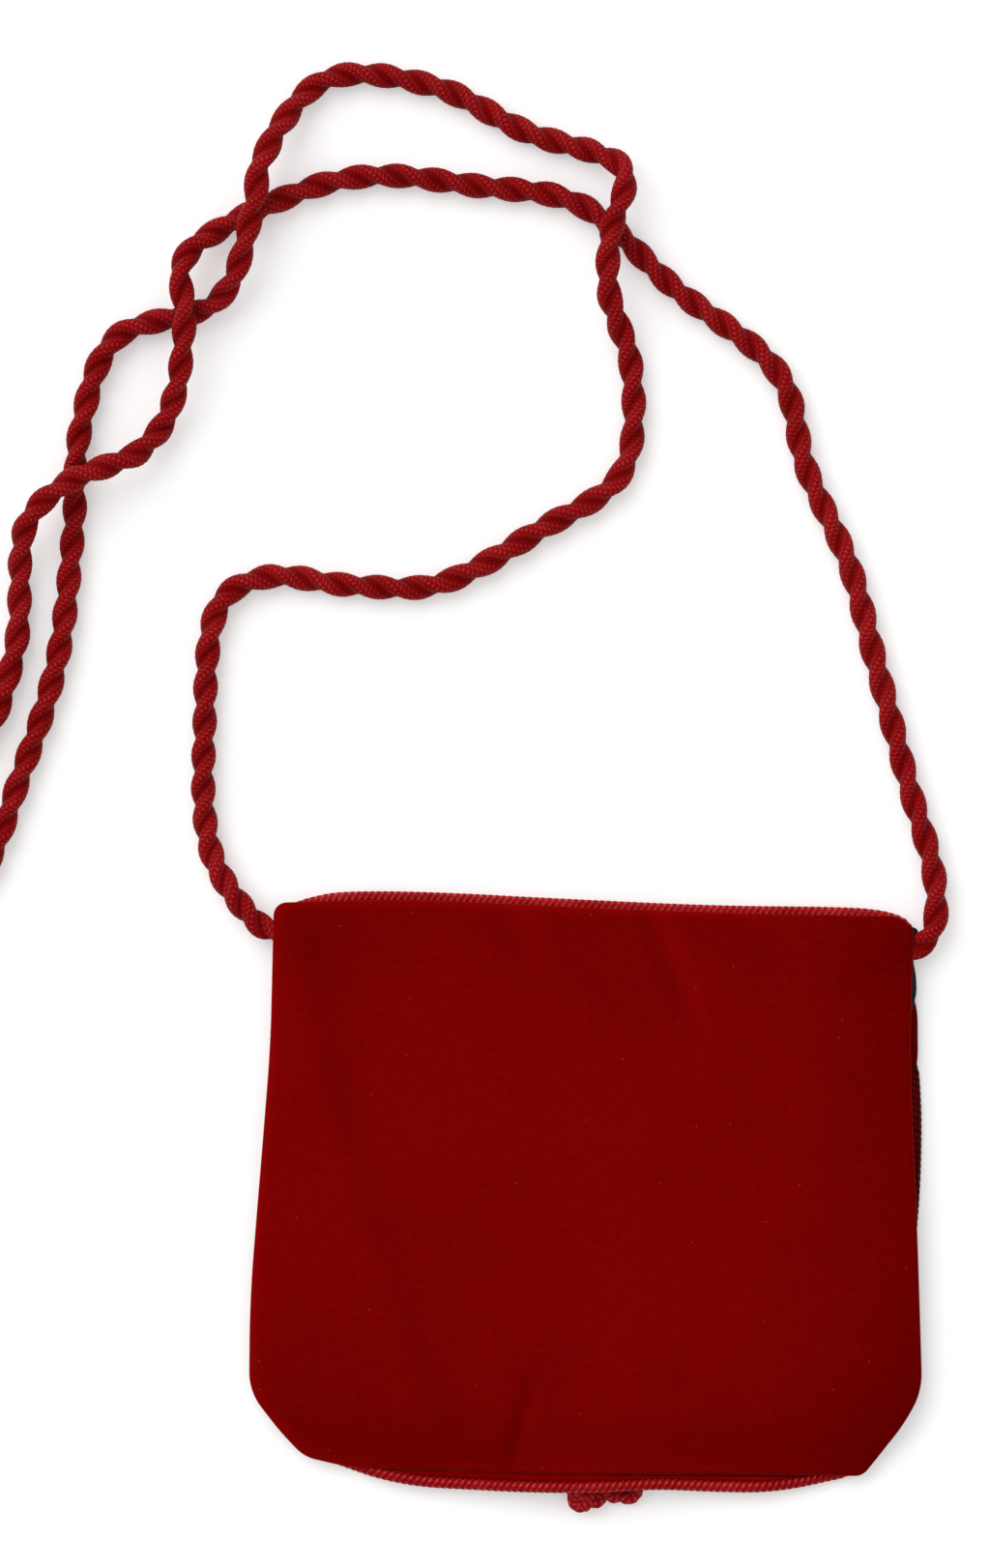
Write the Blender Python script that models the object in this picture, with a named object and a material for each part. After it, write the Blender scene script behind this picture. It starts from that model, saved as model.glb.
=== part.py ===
"""Small velvet shoulder purse, lying on its front as it would come to rest.

The pouch is two crowned velvet panels sewn together at the sides and the foot, each with a
satin lining. A full-length flap folds over the top edge and lies under the pouch, edged with
a twisted cord, and a knotted frog closure holds it at the foot. The shoulder strap is one
cord with both ends sewn into the side seams.

Metres, +Z up, +Y towards the purse's top edge, +X to the right as the back is seen. The
origin is at the middle of the purse's box without the strap, on the surface it lies on.
"""

import math

import bmesh
import bpy
import numpy as np

# Driving dimensions of the pouch, in metres.
BACK_HEIGHT = 0.1430
TOP_HALF_WIDTH = 0.0809
LOW_HALF_WIDTH = 0.0851
FLARE_START = 0.0390
WIDEST_HEIGHT = 0.0440
CORNER_CUT_WIDTH = 0.0152
CORNER_CUT_HEIGHT = 0.0196
FOOT_BELLY = 0.0017
MOUTH_DROP = 0.0090
MOUTH_EASE = 0.0180

# How far from each corner of the outline its rounding starts.
TOP_CORNER_REACH = 0.0030
FLARE_REACH = 0.0140
CUT_UPPER_REACH = 0.0059
CUT_LOWER_REACH = 0.0027
FOOT_REACH = 0.0146

# Cloth thicknesses, and how far the cloth stands out between the seams.
VELVET = 0.0010
SATIN = 0.0005
CLEARANCE = 0.0003
FLAP_SLACK = 0.0008
BACK_CROWN = 0.0052
FRONT_CROWN = 0.0022

# The form of the crowns: how flat the middle is, how round the edge is, how much of the
# crown is lost towards the corners, and how far out the front starts to turn up.
BACK_FLATNESS = 6
FRONT_FLATNESS = 8
EDGE_ROUNDNESS = 0.75
CROWN_FALL = 0.25
FRONT_BOWL = 0.12
SIDE_TURN_START = 0.62
SIDE_TURN_END = 0.94

# The flap, which is cut to its own outline and hangs a little past the pouch's foot.
FLAP_HALF_WIDTH = 0.0806
FLAP_SHIFT = 0.0005
FLAP_FOOT_HANG = 0.0008
FLAP_CORNER_RADIUS = 0.0330
FLAP_TOP_RADIUS = 0.0040
FLAP_TOP_INSET = 0.0009
FOLD_DEPTH = 0.0080

# The twisted edging cord, the frog closure and the shoulder strap.
CORD_DIAMETER = 0.0026
CORD_TUCK = 0.0006
PIPING_LEFT_INSET = 0.0074
PIPING_RIGHT_INSET = 0.0029
BUTTON_X = 0.0017
BUTTON_HALF_WIDTH = 0.0046
BUTTON_HALF_LENGTH = 0.0036
BUTTON_HALF_THICKNESS = 0.0030
STRAND_COUNT = 4
STRAND_TWIST = 3
STRAND_GROOVE = 0.07
FROG_HANG = 0.0100
FROG_LIFT = 0.0040
LIFT_HALF_WIDTH = 0.0400
LIFT_LENGTH = 0.0280
LOOP_X = 0.0112
STRAP_DIAMETER = 0.0066
STRAP_JOINT_HEIGHT = 0.0074
STRAP_LEAD = 0.0040
CROSSING_GAP = 0.0007
HUMP_FLAT = 0.0080
HUMP_REACH = 0.0340

# How finely the faces are cut.
EDGE_STEP = 0.0120
ARC_STEP = math.radians(10.0)
RINGS = (1.0, 0.963, 0.915, 0.83, 0.69, 0.50, 0.27)
BUTTON_RINGS = 9
BUTTON_SIDES = 20
TUBE_RESOLUTION = 2
BEND_STEPS = 8
CORD_STEP = 2.6 * CORD_DIAMETER
LOOP_POINTS = 22
STRAP_POINTS = 80
CURVE_STEPS = 24

# Heights of the layers, from the surface up.
FLAP_TOP = VELVET + CLEARANCE + SATIN
FRONT_FLAT = FLAP_TOP + FLAP_SLACK
SEAM = FRONT_FLAT + FRONT_CROWN + VELVET + CLEARANCE / 2.0
UNDER_BACK = SEAM - CLEARANCE / 2.0

# Places along the purse's length, with the origin at the middle of its box.
PIPING_SHOW = CORD_DIAMETER - CORD_TUCK
LENGTH = FROG_HANG + BACK_HEIGHT + PIPING_SHOW
TOP = LENGTH / 2.0 - PIPING_SHOW
FOOT = TOP - BACK_HEIGHT
MIDDLE = (TOP + FOOT) / 2.0
FLAP_HEAD = TOP - FLAP_TOP_INSET
FLAP_FOOT = FOOT - FLAP_FOOT_HANG

# The frog loop's route, from the middle of the loop at the edge cord: a small bight beside
# the button and a wide one, both ends sewn under the flap.
LOOP_ROUTE = (
    (-0.0036, 0.0019), (-0.0037, -0.0014), (-0.0029, -0.0034), (-0.0012, -0.0033),
    (0.0006, -0.0040), (0.0024, -0.0034), (0.0033, -0.0014), (0.0033, 0.0019),
)

# The strap's route on the surface, chosen by hand: it leaves the left seam, wanders up and
# over to the left, turns back in a wide bight and comes home to the right seam. A point
# marked 1 is where the strap lies on its own other run.
STRAP_ROUTE = (
    (-0.0832, 0.0692, 0), (-0.0965, 0.0870, 0), (-0.0993, 0.1197, 0), (-0.0955, 0.1521, 0),
    (-0.0841, 0.1585, 0), (-0.0635, 0.1568, 0), (-0.0410, 0.1574, 0), (-0.0154, 0.1715, 0),
    (0.0054, 0.1866, 0), (0.0073, 0.2133, 0), (0.0012, 0.2320, 0), (0.0013, 0.2466, 1),
    (0.0044, 0.2632, 0), (-0.0209, 0.2728, 0), (-0.0448, 0.2840, 0), (-0.0722, 0.2846, 0),
    (-0.0875, 0.2627, 0), (-0.0889, 0.2527, 1), (-0.0973, 0.2289, 0), (-0.1237, 0.2182, 0),
    (-0.1322, 0.1947, 0), (-0.1335, 0.1688, 0), (-0.1368, 0.1373, 0), (-0.1452, 0.1083, 0),
    (-0.1577, 0.0787, 0), (-0.1721, 0.0736, 0), (-0.1808, 0.0856, 0), (-0.1736, 0.1015, 0),
    (-0.1567, 0.1141, 0), (-0.1477, 0.1389, 0), (-0.1450, 0.1707, 0), (-0.1345, 0.1814, 1),
    (-0.1163, 0.1899, 0), (-0.1085, 0.2031, 0), (-0.1059, 0.2226, 1), (-0.1062, 0.2386, 0),
    (-0.0794, 0.2556, 0), (-0.0596, 0.2607, 0), (-0.0327, 0.2587, 0), (-0.0067, 0.2545, 0),
    (0.0181, 0.2335, 0), (0.0450, 0.2121, 0), (0.0521, 0.1888, 0), (0.0635, 0.1644, 0),
    (0.0705, 0.1404, 0), (0.0793, 0.1099, 0), (0.0866, 0.0851, 0), (0.0869, 0.0722, 0),
    (0.0838, 0.0672, 0),
)


def clear_scene():
    """Take every object out of the scene."""
    for item in list(bpy.data.objects):
        bpy.data.objects.remove(item, do_unlink=True)


def finish_material(name, colour, roughness, sheen=0.0):
    """A cloth or cord finish with a plain colour."""
    material = bpy.data.materials.new(name)
    material.use_nodes = True
    shader = material.node_tree.nodes["Principled BSDF"]
    shader.inputs["Base Color"].default_value = (*colour, 1.0)
    shader.inputs["Roughness"].default_value = roughness
    shader.inputs["Metallic"].default_value = 0.0
    shader.inputs["Sheen Weight"].default_value = sheen
    return material


def add_mesh(name, vertices, faces, material, smooth_angle=40.0):
    """Put a closed mesh with outward faces into the scene."""
    mesh = bpy.data.meshes.new(name)
    mesh.from_pydata([tuple(point) for point in vertices], [], faces)
    mesh.update()
    work = bmesh.new()
    work.from_mesh(mesh)
    bmesh.ops.recalc_face_normals(work, faces=work.faces)
    work.to_mesh(mesh)
    work.free()
    mesh.shade_smooth()
    mesh.set_sharp_from_angle(angle=math.radians(smooth_angle))
    mesh.materials.append(material)
    item = bpy.data.objects.new(name, mesh)
    bpy.context.scene.collection.objects.link(item)
    return item


def rounded_outline(corners):
    """A closed outline of straight stretches and arcs, from (x, y, reach) corners in turn.

    Each arc starts and ends its reach away from its corner.
    """
    count = len(corners)
    points = []
    for index, (x, y, reach) in enumerate(corners):
        here = np.array((x, y))
        before = np.array(corners[index - 1][:2]) - here
        after = np.array(corners[(index + 1) % count][:2]) - here
        before /= np.linalg.norm(before)
        after /= np.linalg.norm(after)
        turn = math.pi - math.acos(float(np.clip(before @ after, -1.0, 1.0)))
        radius = reach / math.tan(turn / 2.0)
        bisector = before + after
        bisector /= np.linalg.norm(bisector)
        centre = here + bisector * radius / math.cos(turn / 2.0)
        steps = max(1, math.ceil(turn / ARC_STEP))
        start = here + before * reach - centre
        end = here + after * reach - centre
        side = math.copysign(1.0, start[0] * end[1] - start[1] * end[0])
        for step in range(steps + 1):
            angle = side * turn * step / steps
            cosine, sine = math.cos(angle), math.sin(angle)
            points.append(centre + (start[0] * cosine - start[1] * sine,
                                    start[0] * sine + start[1] * cosine))
    return fill_outline(np.array(points))


def fill_outline(points):
    """The same closed outline with its long straight stretches cut into shorter ones."""
    filled = []
    for index, point in enumerate(points):
        following = points[(index + 1) % len(points)]
        parts = max(1, math.ceil(np.linalg.norm(following - point) / EDGE_STEP))
        for part in range(parts):
            filled.append(point + (following - point) * part / parts)
    return np.array(filled)


def panel_outline(head):
    """The pouch's outline below a top edge at the given height along Y."""
    side = [
        (TOP_HALF_WIDTH, head, TOP_CORNER_REACH),
        (TOP_HALF_WIDTH, TOP - FLARE_START, FLARE_REACH),
        (LOW_HALF_WIDTH, FOOT + WIDEST_HEIGHT, FLARE_REACH),
        (LOW_HALF_WIDTH, FOOT + CORNER_CUT_HEIGHT, CUT_UPPER_REACH),
        (LOW_HALF_WIDTH - CORNER_CUT_WIDTH, FOOT + FOOT_BELLY, CUT_LOWER_REACH),
    ]
    mirrored = [(-x, y, reach) for x, y, reach in reversed(side)]
    return rounded_outline(side + [(0.0, FOOT, FOOT_REACH)] + mirrored)


def flap_outline():
    """The flap's outline, square at the fold and round at its free corners."""
    side = [
        (FLAP_HALF_WIDTH, FLAP_HEAD, FLAP_TOP_RADIUS),
        (FLAP_HALF_WIDTH, FLAP_FOOT, FLAP_CORNER_RADIUS),
    ]
    mirrored = [(-x, y, reach) for x, y, reach in reversed(side)]
    outline = rounded_outline(side + mirrored)
    return outline + (FLAP_SHIFT, 0.0)


def rings_of(outline):
    """The outline drawn in towards the pouch's middle, ring by ring."""
    centre = np.array((0.0, MIDDLE))
    return np.array([centre + (outline - centre) * scale for scale in RINGS])


def lift(points):
    """How far the knot under the foot props the cloth up, at each point."""
    across = np.maximum(1.0 - np.abs(points[..., 0] - BUTTON_X) / LIFT_HALF_WIDTH, 0.0)
    along = np.maximum(1.0 - (points[..., 1] - FLAP_FOOT) / LIFT_LENGTH, 0.0)
    return FROG_LIFT * across ** 2 * (3.0 - 2.0 * across) * along ** 2


def from_middle(points):
    """The square of how far out each point is, where 1 is the side and the foot."""
    across = points[..., 0] / LOW_HALF_WIDTH
    along = (points[..., 1] - MIDDLE) / (BACK_HEIGHT / 2.0)
    return across ** 2 + along ** 2


def back_inner(points, scales):
    """Height of the back velvet's inner face: a crown that falls to the seam all round."""
    crown = (1.0 - scales ** BACK_FLATNESS) ** EDGE_ROUNDNESS
    crown *= 1.0 - CROWN_FALL * from_middle(points)
    return SEAM + CLEARANCE / 2.0 + BACK_CROWN * crown + lift(points)


def front_outer(points, scales):
    """Height of the front velvet's outer face: a shallow bowl, turned up to the seam.

    It turns up along the foot and the sides, and stays low along the mouth.
    """
    turned_up = 1.0 - (1.0 - scales ** FRONT_FLATNESS) ** EDGE_ROUNDNESS
    below = np.clip((TOP - MOUTH_DROP - points[..., 1]) / MOUTH_EASE, 0.0, 1.0)
    beside = np.abs(points[..., 0]) / TOP_HALF_WIDTH - SIDE_TURN_START
    beside = np.clip(beside / (SIDE_TURN_END - SIDE_TURN_START), 0.0, 1.0)
    held = np.maximum(below, beside) * turned_up
    bowl = FRONT_BOWL * from_middle(points)
    return FRONT_FLAT + FRONT_CROWN * (held + (1.0 - held) * bowl) + lift(points)


def flap_outer(points):
    """Height of the flap velvet's outer face: flat, and curled up at the fold."""
    fold = np.clip((points[..., 1] - FLAP_HEAD) / FOLD_DEPTH + 1.0, 0.0, 1.0)
    return (UNDER_BACK - VELVET) * fold ** 2 + lift(points)


def shell(name, rings, low, high, material):
    """A closed sheet between two heights, given at every ring's points and at the pole."""
    count, size = rings.shape[:2]
    under = count * size + 1
    flat = np.vstack((rings.reshape(-1, 2), [(0.0, MIDDLE)]))
    vertices = [np.column_stack((flat, height.ravel()[:under])) for height in (high, low)]
    faces = []
    for place in range(size):
        beside = (place + 1) % size
        for ring in range(count - 1):
            outer, inner = ring * size, (ring + 1) * size
            faces.append((outer + place, inner + place, inner + beside, outer + beside))
            faces.append((under + outer + place, under + outer + beside,
                          under + inner + beside, under + inner + place))
        last = (count - 1) * size
        faces.append((last + place, under - 1, last + beside))
        faces.append((under + last + place, under + last + beside, 2 * under - 1))
        faces.append((place, beside, under + beside, under + place))
    return add_mesh(name, np.vstack(vertices), faces, material)


def with_pole(rings):
    """The rings' points, and one more row of points that all lie at the pole."""
    return np.vstack((rings, np.tile((0.0, MIDDLE), (1, rings.shape[1], 1))))


def pouch_heights(height, rings):
    """The height of a panel of the pouch at every ring point and at the pole."""
    scales = np.append(RINGS, 0.0)[:, None] * np.ones(rings.shape[1])
    return height(with_pole(rings), scales)


def make_back(velvet, satin):
    """The back panel, which lies on top here, and its lining under it."""
    rings = rings_of(panel_outline(TOP))
    inner = pouch_heights(back_inner, rings)
    shell("back_panel", rings, inner, inner + VELVET, velvet)
    under = inner[1:] - CLEARANCE
    shell("back_lining", rings[1:], under - SATIN, under, satin)


def make_front(velvet, satin):
    """The front panel, which ends short of the top to leave the mouth, and its lining."""
    rings = rings_of(panel_outline(TOP - MOUTH_DROP))
    outer = pouch_heights(front_outer, rings)
    shell("front_panel", rings, outer, outer + VELVET, velvet)
    over = outer[1:] + VELVET + CLEARANCE
    shell("front_lining", rings[1:], over, over + SATIN, satin)


def make_flap(velvet, satin):
    """The flap, turned under the pouch, and its lining on the side that faces the pouch."""
    rings = rings_of(flap_outline())
    outer = flap_outer(with_pole(rings))
    shell("flap", rings, outer, outer + VELVET, velvet)
    over = outer[1:] + VELVET + CLEARANCE
    shell("flap_lining", rings[1:], over, over + SATIN, satin)


def add_tube(name, points, diameter, material):
    """A plain round cord with filled ends along a run of points."""
    curve = bpy.data.curves.new(name, "CURVE")
    curve.dimensions = "3D"
    curve.bevel_depth = diameter / 2.0
    curve.bevel_resolution = TUBE_RESOLUTION
    curve.use_fill_caps = True
    spline = curve.splines.new("POLY")
    spline.points.add(len(points) - 1)
    for spot, point in zip(spline.points, points):
        spot.co = (*point, 1.0)
    curve.materials.append(material)
    item = bpy.data.objects.new(name, curve)
    bpy.context.scene.collection.objects.link(item)
    return item


def smooth_curve(route):
    """Dense points on a smooth curve through a flat route, and each route point's place on it."""
    route = np.array(route, dtype=float)
    gaps = np.linalg.norm(np.diff(route, axis=0), axis=1) ** 0.5
    ends = np.vstack((2.0 * route[0] - route[1], route, 2.0 * route[-1] - route[-2]))
    times = np.append(0.0, np.cumsum(np.concatenate((gaps[:1], gaps, gaps[-1:]))))
    pieces = []
    for index in range(len(route) - 1):
        a, b, c, d = ends[index:index + 4]
        ta, tb, tc, td = times[index:index + 4]
        t = np.linspace(tb, tc, CURVE_STEPS, endpoint=False)[:, None]
        ab = ((tb - t) * a + (t - ta) * b) / (tb - ta)
        bc = ((tc - t) * b + (t - tb) * c) / (tc - tb)
        cd = ((td - t) * c + (t - tc) * d) / (td - tc)
        abc = ((tc - t) * ab + (t - ta) * bc) / (tc - ta)
        bcd = ((td - t) * bc + (t - tb) * cd) / (td - tb)
        pieces.append(((tc - t) * abc + (t - tb) * bcd) / (tc - tb))
    return np.vstack(pieces + [route[-1:]]), np.arange(len(route)) * CURVE_STEPS


def strap_centre(count):
    """Evenly spaced centre points of the strap, with its humps where it crosses itself."""
    route = np.array(STRAP_ROUTE)
    flat, places = smooth_curve(route[:, :2])
    travelled = np.append(0.0, np.cumsum(np.linalg.norm(np.diff(flat, axis=0), axis=1)))
    radius = STRAP_DIAMETER / 2.0
    height = np.full(len(flat), radius)
    crossings = travelled[places[route[:, 2] > 0.5]]
    ends = travelled[[0, -1]]
    rises = [(spot, radius + STRAP_DIAMETER + CROSSING_GAP) for spot in crossings]
    rises += [(spot, STRAP_JOINT_HEIGHT) for spot in ends]
    for spot, top in rises:
        away = (np.abs(travelled - spot) - HUMP_FLAT) / (HUMP_REACH - HUMP_FLAT)
        hump = np.cos(np.clip(away, 0.0, 1.0) * math.pi / 2.0) ** 2
        height = np.maximum(height, radius + (top - radius) * hump)
    stations = np.linspace(0.0, travelled[-1], count - 2)
    stations = np.sort(np.append(stations, (STRAP_LEAD, travelled[-1] - STRAP_LEAD)))
    full = np.column_stack((flat, height))
    return np.column_stack([np.interp(stations, travelled, full[:, axis]) for axis in range(3)])


def make_edging(cord):
    """The twisted cord sewn round the flap's free edge, and the piping along the fold."""
    half = FLAP_HALF_WIDTH + CLEARANCE + CORD_DIAMETER / 2.0
    radius = FLAP_CORNER_RADIUS + CLEARANCE + CORD_DIAMETER / 2.0
    foot = FLAP_FOOT - CLEARANCE - CORD_DIAMETER / 2.0
    head = FLAP_HEAD - FLAP_TOP_RADIUS
    down = np.column_stack((np.full(2, half), (head, foot + radius)))
    turn = np.linspace(0.0, math.pi / 2.0, BEND_STEPS + 1)[1:-1]
    bend = np.column_stack((half - radius + radius * np.cos(turn),
                            foot + radius - radius * np.sin(turn)))
    right = np.vstack((down, bend, [(half - radius, foot)]))
    left = right[::-1] * (-1.0, 1.0)
    flat = np.vstack((right, left)) + (FLAP_SHIFT, 0.0)
    lengths = np.append(0.0, np.cumsum(np.linalg.norm(np.diff(flat, axis=0), axis=1)))
    stations = np.linspace(0.0, lengths[-1], math.ceil(lengths[-1] / CORD_STEP))
    flat = np.column_stack([np.interp(stations, lengths, flat[:, axis]) for axis in range(2)])
    height = flap_outer(flat) + CORD_DIAMETER / 2.0
    add_tube("flap_edge_cord", np.column_stack((flat, height)), CORD_DIAMETER, cord)

    start = PIPING_LEFT_INSET - TOP_HALF_WIDTH
    end = TOP_HALF_WIDTH - PIPING_RIGHT_INSET
    count = math.ceil((end - start) / CORD_STEP)
    across = np.linspace(start, end, count)
    along = np.full(count, TOP + PIPING_SHOW - CORD_DIAMETER / 2.0)
    under = np.full(count, UNDER_BACK - CORD_DIAMETER / 2.0)
    add_tube("top_piping", np.column_stack((across, along, under)), CORD_DIAMETER, cord)


def make_frog(cord):
    """The knotted button at the foot and the cord loop beside it that holds the flap."""
    latitude = np.linspace(-math.pi / 2.0, math.pi / 2.0, BUTTON_RINGS)[1:-1]
    longitude = np.arange(BUTTON_SIDES) * math.tau / BUTTON_SIDES
    lat, lon = np.meshgrid(latitude, longitude, indexing="ij")
    groove = (1.0 - np.cos(STRAND_COUNT * lon + STRAND_TWIST * lat)) / 2.0
    ridge = 1.0 - STRAND_GROOVE * groove * np.cos(lat)
    centre = np.array((BUTTON_X, FOOT - FROG_HANG + BUTTON_HALF_LENGTH, BUTTON_HALF_THICKNESS))
    size = np.array((BUTTON_HALF_WIDTH, BUTTON_HALF_LENGTH, BUTTON_HALF_THICKNESS))
    ball = np.dstack((ridge * np.cos(lat) * np.cos(lon), ridge * np.cos(lat) * np.sin(lon),
                      np.sin(lat))).reshape(-1, 3)
    vertices = np.vstack((ball, [(0.0, 0.0, -1.0), (0.0, 0.0, 1.0)])) * size + centre
    faces = []
    rows = len(latitude)
    for place in range(BUTTON_SIDES):
        beside = (place + 1) % BUTTON_SIDES
        for row in range(rows - 1):
            low, high = row * BUTTON_SIDES, (row + 1) * BUTTON_SIDES
            faces.append((low + place, low + beside, high + beside, high + place))
        faces.append((place, rows * BUTTON_SIDES, beside))
        last = (rows - 1) * BUTTON_SIDES
        faces.append((last + place, last + beside, rows * BUTTON_SIDES + 1))
    add_mesh("frog_button", vertices, faces, cord)

    edge = FLAP_FOOT - CLEARANCE - CORD_DIAMETER / 2.0
    flat, _ = smooth_curve(np.array(LOOP_ROUTE) + (LOOP_X, edge))
    flat = flat[np.linspace(0.0, len(flat) - 1.0, LOOP_POINTS).round().astype(int)]
    lowest = flat[:, 1].min()
    up = (flat[:, 1] - lowest) / (flat[0, 1] - lowest)
    at_foot = np.column_stack((flat[:, 0], np.full(len(flat), FLAP_FOOT)))
    spare = np.maximum(flap_outer(at_foot) - CLEARANCE - CORD_DIAMETER, 0.0)
    height = CORD_DIAMETER / 2.0 + spare * up
    add_tube("frog_loop", np.column_stack((flat, height)), CORD_DIAMETER, cord)


def main():
    """Build every piece of the purse."""
    clear_scene()
    velvet = finish_material("red_velvet", (0.190, 0.003, 0.003), 0.85, 0.4)
    satin = finish_material("black_satin", (0.006, 0.009, 0.008), 0.45)
    cord = finish_material("red_cord", (0.300, 0.006, 0.010), 0.55)
    make_back(velvet, satin)
    make_front(velvet, satin)
    make_flap(velvet, satin)
    make_edging(cord)
    make_frog(cord)
    add_tube("strap_cord", strap_centre(STRAP_POINTS), STRAP_DIAMETER, cord)


main()
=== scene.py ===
"""Small velvet shoulder purse, lying on its front, seen from its back.

Metres, +Z up, +Y towards the purse's top edge, +X to the right as the back is seen.
"""

import math
import bpy
import numpy as np
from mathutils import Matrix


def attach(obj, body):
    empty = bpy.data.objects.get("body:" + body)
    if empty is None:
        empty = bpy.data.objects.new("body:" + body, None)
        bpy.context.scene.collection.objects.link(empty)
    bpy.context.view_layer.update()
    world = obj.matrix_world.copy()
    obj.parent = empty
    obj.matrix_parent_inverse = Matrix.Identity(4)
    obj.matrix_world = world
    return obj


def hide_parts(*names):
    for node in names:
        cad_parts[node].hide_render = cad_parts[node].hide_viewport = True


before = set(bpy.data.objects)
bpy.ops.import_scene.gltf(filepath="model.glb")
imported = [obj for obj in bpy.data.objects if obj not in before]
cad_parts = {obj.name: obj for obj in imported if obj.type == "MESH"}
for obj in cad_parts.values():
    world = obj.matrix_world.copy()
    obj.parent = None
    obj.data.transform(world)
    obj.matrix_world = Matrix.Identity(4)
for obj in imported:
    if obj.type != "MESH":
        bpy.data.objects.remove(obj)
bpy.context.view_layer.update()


# The camera looks straight down from far off, as the photograph was taken. The purse lies
# turned a little clockwise in the picture, so the camera is rolled the other way.

CAMERA_HEIGHT = 2.0
CAMERA_PLACE = (-0.0253, 0.1070)
CAMERA_ROLL = math.radians(1.06)
PICTURE_HEIGHT = 0.3974
PICTURE_LEVEL = 0.006
FILM = 36.0

lens = bpy.data.cameras.new("camera")
lens.sensor_width = FILM
lens.lens = FILM * (CAMERA_HEIGHT - PICTURE_LEVEL) / PICTURE_HEIGHT
camera = bpy.data.objects.new("camera", lens)
camera.location = CAMERA_PLACE + (CAMERA_HEIGHT,)
camera.rotation_euler = (0.0, 0.0, CAMERA_ROLL)
bpy.context.scene.collection.objects.link(camera)
bpy.context.scene.camera = camera


# The shoulder strap is two braided rayon cords twisted round each other, limp enough to lie in
# loose turns. Both ends are pressed flat and sewn into the side seams near the top.

# Each point of the route is X, Y, and 1 where the strap passes over its other run.
STRAP_ROUTE = (
    (-0.0789, 0.0684, 0), (-0.0838, 0.0699, 0), (-0.0965, 0.0870, 0), (-0.0993, 0.1197, 0),
    (-0.0955, 0.1521, 0), (-0.0841, 0.1585, 0), (-0.0635, 0.1568, 0), (-0.0410, 0.1574, 0),
    (-0.0154, 0.1715, 0), (0.0054, 0.1866, 0), (0.0073, 0.2133, 0), (0.0012, 0.2320, 0),
    (0.0013, 0.2466, 1), (0.0044, 0.2632, 0), (-0.0209, 0.2728, 0), (-0.0448, 0.2840, 0),
    (-0.0722, 0.2846, 0), (-0.0875, 0.2627, 0), (-0.0889, 0.2527, 1), (-0.0973, 0.2289, 0),
    (-0.1237, 0.2182, 0), (-0.1322, 0.1947, 0), (-0.1335, 0.1688, 0), (-0.1368, 0.1373, 0),
    (-0.1452, 0.1083, 0), (-0.1577, 0.0787, 0), (-0.1721, 0.0736, 0), (-0.1808, 0.0856, 0),
    (-0.1736, 0.1015, 0), (-0.1567, 0.1141, 0), (-0.1477, 0.1389, 0), (-0.1450, 0.1707, 0),
    (-0.1345, 0.1814, 1), (-0.1163, 0.1899, 0), (-0.1085, 0.2031, 0), (-0.1059, 0.2226, 1),
    (-0.1062, 0.2386, 0), (-0.0794, 0.2556, 0), (-0.0596, 0.2607, 0), (-0.0327, 0.2587, 0),
    (-0.0067, 0.2545, 0), (0.0181, 0.2335, 0), (0.0450, 0.2121, 0), (0.0521, 0.1888, 0),
    (0.0635, 0.1644, 0), (0.0705, 0.1404, 0), (0.0793, 0.1099, 0), (0.0866, 0.0851, 0),
    (0.0865, 0.0724, 0), (0.0834, 0.0682, 0), (0.0786, 0.0668, 0),
)
ROUTE_STEPS = 24
STRAP_DIAMETER = 0.0066
STRAP_JOINT_HEIGHT = 0.0049
CROSSING_GAP = 0.0007
HUMP_FLAT = 0.0080
HUMP_REACH = 0.0340
STRAP_STEP = 0.001
STRAP_LAY = 0.0190
STRAP_PHASE = 0.6
EXTRA_TWIST = 0.42
EXTRA_TWIST_RUN = 0.030
UNEVEN_TWIST = 0.05
UNEVEN_TWIST_RUN = 0.037
PLY_RADIUS = 0.00205
PLY_OFFSET = 0.00125
PLY_GAP = 0.00002
PLY_FLATNESS = 0.45
PLY_STEP = 0.0004
PLY_SIDES = 14
PRESSED = 0.42
PRESSED_END = 0.003
PRESSED_RUN = 0.010
MID_SHADE = 0.66
SHADE_SWING = 0.44
STITCH_PITCH = 0.00098


def smooth_route(route):
    """Dense points on a smooth curve through a route.

    Each stretch blends the lines through its four nearest route points, spaced by the
    square root of the distance between them.
    """
    route = np.array(route, dtype=float)
    gaps = np.linalg.norm(np.diff(route, axis=0), axis=1) ** 0.5
    ends = np.vstack((2.0 * route[0] - route[1], route, 2.0 * route[-1] - route[-2]))
    times = np.append(0.0, np.cumsum(np.concatenate((gaps[:1], gaps, gaps[-1:]))))
    a, b, c, d = (ends[shift:shift + len(gaps), None] for shift in range(4))
    ta, tb, tc, td = (times[shift:shift + len(gaps), None, None] for shift in range(4))
    t = tb + (tc - tb) * np.linspace(0.0, 1.0, ROUTE_STEPS, endpoint=False)[None, :, None]
    ab = ((tb - t) * a + (t - ta) * b) / (tb - ta)
    bc = ((tc - t) * b + (t - tb) * c) / (tc - tb)
    cd = ((td - t) * c + (t - tc) * d) / (td - tc)
    abc = ((tc - t) * ab + (t - ta) * bc) / (tc - ta)
    bcd = ((td - t) * bc + (t - tb) * cd) / (td - tb)
    curve = ((tc - t) * abc + (t - tb) * bcd) / (tc - tb)
    return np.vstack((curve.reshape(-1, route.shape[1]), route[-1:]))


def travelled(points):
    """How far along a run of points each one is."""
    return np.append(0.0, np.cumsum(np.linalg.norm(np.diff(points, axis=0), axis=1)))


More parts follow.
